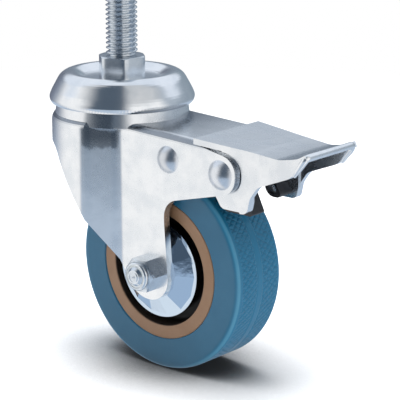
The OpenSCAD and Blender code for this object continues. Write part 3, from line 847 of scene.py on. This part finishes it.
# The stem's rings from the peened head up to the thread's end: kind, radius and height
def stemProfile():
    low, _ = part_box("stem")
    washerZ = low[2] + stem["peenHeight"]
    seat = -stem["collarHeight"]
    cornerR = stem["collarFlats"] / math.sqrt(3)
    dome = stem["collarDome"]
    peen = [("plain", max(stem["peenRadius"] * math.sin(angle), stem["tipRadius"]),
             washerZ - stem["peenHeight"] * math.cos(angle)) for angle in quarter(stem["peenSteps"])]
    shank = [("plain", stem["shank"], z) for z in (washerZ, seat)]
    collar = [("hex", cornerR, seat * share) for share in stem["collarRows"]]
    domed = [("hex", cornerR - dome + dome * math.cos(angle), -dome + dome * math.sin(angle))
             for angle in quarter(stem["domeSteps"])]
    neck = [("plain", stem["root"] - stem["neckIn"], 0.0)]
    rows = int(stem["length"] / stem["pitch"] * stem["stepsPerTurn"])
    thread = [("thread", stem["crest"], stem["length"] * i / rows) for i in range(1, rows + 1)]
    return peen + shank + collar + domed + neck + thread


def buildStem():
    around = stem["around"]
    profile = stemProfile()
    verts = []
    for kind, r, z in profile:
        for j in range(around):
            angle = fullTurn * j / around
            q = stemRadius(kind, r, z, angle)
            verts.append((q * math.cos(angle), q * math.sin(angle), z))
    last = (len(profile) - 1) * around
    ends = [tuple(reversed(range(around))), tuple(last + j for j in range(around))]
    mesh = newMesh("threadedStem", verts, ringFaces(len(profile), around) + ends)
    piece = newPiece("threadedStem", mesh, "stem_head", stemZinc, stem["sharpAngle"])
    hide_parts("stem")


buildStem()
print("stem threaded")


# Tyre: rounded shoulders and two bands of small diamonds either side of a plain rib

tyre = {
    "radius": 32.5 * mm,
    "inner": 22.6 * mm,
    "half": 10.5 * mm,
    "shoulder": 2.0 * mm,
    "bead": 0.35 * mm,
    "sideRows": (26.0 * mm, 29.4 * mm),
    "rib": 1.5 * mm,
    "ribLine": 0.25 * mm,
    "ribDeep": 0.8,             # share of the groove's depth
    "bandEdge": 9.2 * mm,
    "bandSoft": 0.3 * mm,
    "diamondsAround": 96,
    "diamondHeight": 2.9 * mm,
    "groove": 0.26 * mm,
    "grooveWidth": 0.26,        # share of a diamond's width
    "around": 1152,
    "across": 46,
    "shoulderSteps": 8,
    "sharpAngle": 35,
}


# Depth of the tread's grooves at a place across the tyre and an angle round it
def treadDrop(y, angle):
    inBand = limited((tyre["bandEdge"] - abs(y)) / tyre["bandSoft"])
    offRib = limited((abs(y) - tyre["rib"]) / tyre["bandSoft"])
    lean = y / tyre["diamondHeight"]
    turns = angle / fullTurn * tyre["diamondsAround"]
    width = tyre["grooveWidth"]
    depth = 0.0
    for phase in (turns + lean, turns - lean):
        near = abs((phase % 1.0) - 0.5) * 2
        depth = max(depth, limited((near - (1 - width)) / width))
    ribLine = max(0.0, 1 - abs(abs(y) - tyre["rib"]) / tyre["ribLine"]) * tyre["ribDeep"]
    return tyre["groove"] * max(depth * inBand * offRib, ribLine)


# The tyre's rings from one side to the other: radius, place across and whether the tread is cut there
def tyreProfile():
    half = tyre["half"]
    inner = half - tyre["shoulder"]
    bore = tyre["inner"]
    bead = tyre["bead"]
    side = [(bore, half - bead, False), (bore + bead, half, False)]
    side += [(r, half, False) for r in tyre["sideRows"]]
    for angle in quarter(tyre["shoulderSteps"]):
        r = tyre["radius"] + tyre["shoulder"] * (math.sin(angle) - 1)
        side.append((r, inner + tyre["shoulder"] * math.cos(angle), False))
    rows = range(1, tyre["across"])
    middle = [(tyre["radius"], inner - 2 * inner * i / tyre["across"], True) for i in rows]
    other = [(r, -y, treads) for r, y, treads in reversed(side)]
    return side + middle + other


def buildTyre():
    around = tyre["around"]
    profile = tyreProfile()
    verts = []
    for r, y, treads in profile:
        for j in range(around):
            angle = fullTurn * j / around
            q = r - treadDrop(y, angle) if treads else r
            verts.append((axle.x + q * math.cos(angle), y, axle.z + q * math.sin(angle)))
    last = (len(profile) - 1) * around
    bore = [(last + j, last + (j + 1) % around, (j + 1) % around, j) for j in range(around)]
    mesh = newMesh("treadedTyre", verts, ringFaces(len(profile), around) + bore)
    piece = newPiece("treadedTyre", mesh, "wheel", rubber, tyre["sharpAngle"])
    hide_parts("tyre")


buildTyre()
print("tyre moulded")


# Pedal: the rim of its raised lip is rolled round, and runs over its corners into the flanges

rolledLip = {
    "radius": 1.10 * mm,
    "halfWidth": 12.4 * mm,
    "inFromEnd": 0.85 * mm,
    "underTop": 1.00 * mm,
    "inFromSide": 0.70 * mm,
    "nearRound": 1.0 * mm,
    "farRound": 1.9 * mm,
    "flangeFoot": (-4.3 * mm, -5.9 * mm),   # end of the rim on each flange, from the middle of the lip's rim
    "flangeSteps": (1.0, 0.8, 0.6),         # shares of the way from the lip to that foot
    "footRadius": 0.62,                     # share of the radius that is left at the foot
    "footPoints": 3,                        # points over which it grows to all of it
    "cornerSteps": 6,
    "roundSteps": 6,
    "searched": 3.0 * mm,                   # length at the pedal's end in which its highest point is the lip
    "sharpAngle": 50,
}


# The middle of the lip's rim, just inside the pedal's upper end
def lipMiddle():
    pedal = nodes["brake_pedal"]
    places = [pedal.matrix_world @ vertex.co for vertex in pedal.data.vertices]
    end = max(place.x for place in places)
    top = max(place.z for place in places if place.x > end - rolledLip["searched"])
    return Vector((end - rolledLip["inFromEnd"], 0, top - rolledLip["underTop"]))


# The rim's path over one corner: from the flange's foot up and round to the lip
def lipCorner(side, middle):
    y = side * (rolledLip["halfWidth"] - rolledLip["inFromSide"])
    footX, footZ = rolledLip["flangeFoot"]
    wide = rolledLip["farRound"] if side > 0 else rolledLip["nearRound"]
    path = [(middle.x + footX * part, y, middle.z + footZ * part) for part in rolledLip["flangeSteps"]]
    for angle in quarter(rolledLip["cornerSteps"]):
        down = wide * (1 - math.sin(angle))
        x = middle.x - footX / footZ * down
        path.append((x, y - side * wide * (1 - math.cos(angle)), middle.z - down))
    return path


def buildRolledLip():
    middle = lipMiddle()
    path = lipCorner(-1, middle) + lipCorner(1, middle)[::-1]
    curve = bpy.data.curves.new("rolledLip", "CURVE")
    curve.dimensions = "3D"
    curve.bevel_depth = rolledLip["radius"]
    curve.bevel_resolution = rolledLip["roundSteps"]
    curve.use_fill_caps = True
    spline = curve.splines.new("POLY")
    spline.points.add(len(path) - 1)
    foot = rolledLip["footRadius"]
    for i, (point, place) in enumerate(zip(spline.points, path)):
        fromEnd = min(i, len(path) - 1 - i)
        point.co = (*place, 1)
        point.radius = min(1.0, foot + (1 - foot) * fromEnd / rolledLip["footPoints"])
    bent = bpy.data.objects.new("rolledLipCurve", curve)
    bpy.context.collection.objects.link(bent)
    bpy.context.view_layer.update()
    mesh = bpy.data.meshes.new_from_object(bent)
    bpy.data.objects.remove(bent)
    newPiece("rolledLip", mesh, "pedal", zinc, rolledLip["sharpAngle"])


buildRolledLip()
print("lip rolled")


# Finishes of the CAD pieces that keep their shape

finishes = {
    "swivel_bowl": bowlZinc,
    "upper_balls": ballSteel,
    "lower_balls": ballSteel,
    "lower_race": zinc,
    "kingpin_washer": rivetZinc,
    "yoke": yokeZinc,
    "front_rivet": rivetZinc,
    "spacer_tube": rivetZinc,
    "brake_spring": spring,
    "pedal_rivet": rivetZinc,
    "axle_bolt": boltZinc,
    "axle_nut": boltZinc,
    "nut_insert": nylon,
    "axle_sleeve": rivetZinc,
    "dust_cap_near": chrome,
    "dust_cap_far": chrome,
    "bearing_inner_rings": ballSteel,
    "wheel_core": core,
    "bearing_outer_rings": ballSteel,
    "bearing_balls": ballSteel,
    "brake_pedal": pedalZinc,
    "brake_shoe": shoe,
    "shoe_pins": rivetZinc,
}
nodeSharpAngle = 28


def dressNodes():
    for name, material in finishes.items():
        piece = nodes[name]
        piece.data.materials.clear()
        piece.data.materials.append(material)
        shadeSmooth(piece, nodeSharpAngle)


dressNodes()
print("nodes dressed")

makeCamera()
makeWorld()
makeFloor()
makeLamps()

scene = bpy.context.scene
scene.view_settings.view_transform = "Standard"
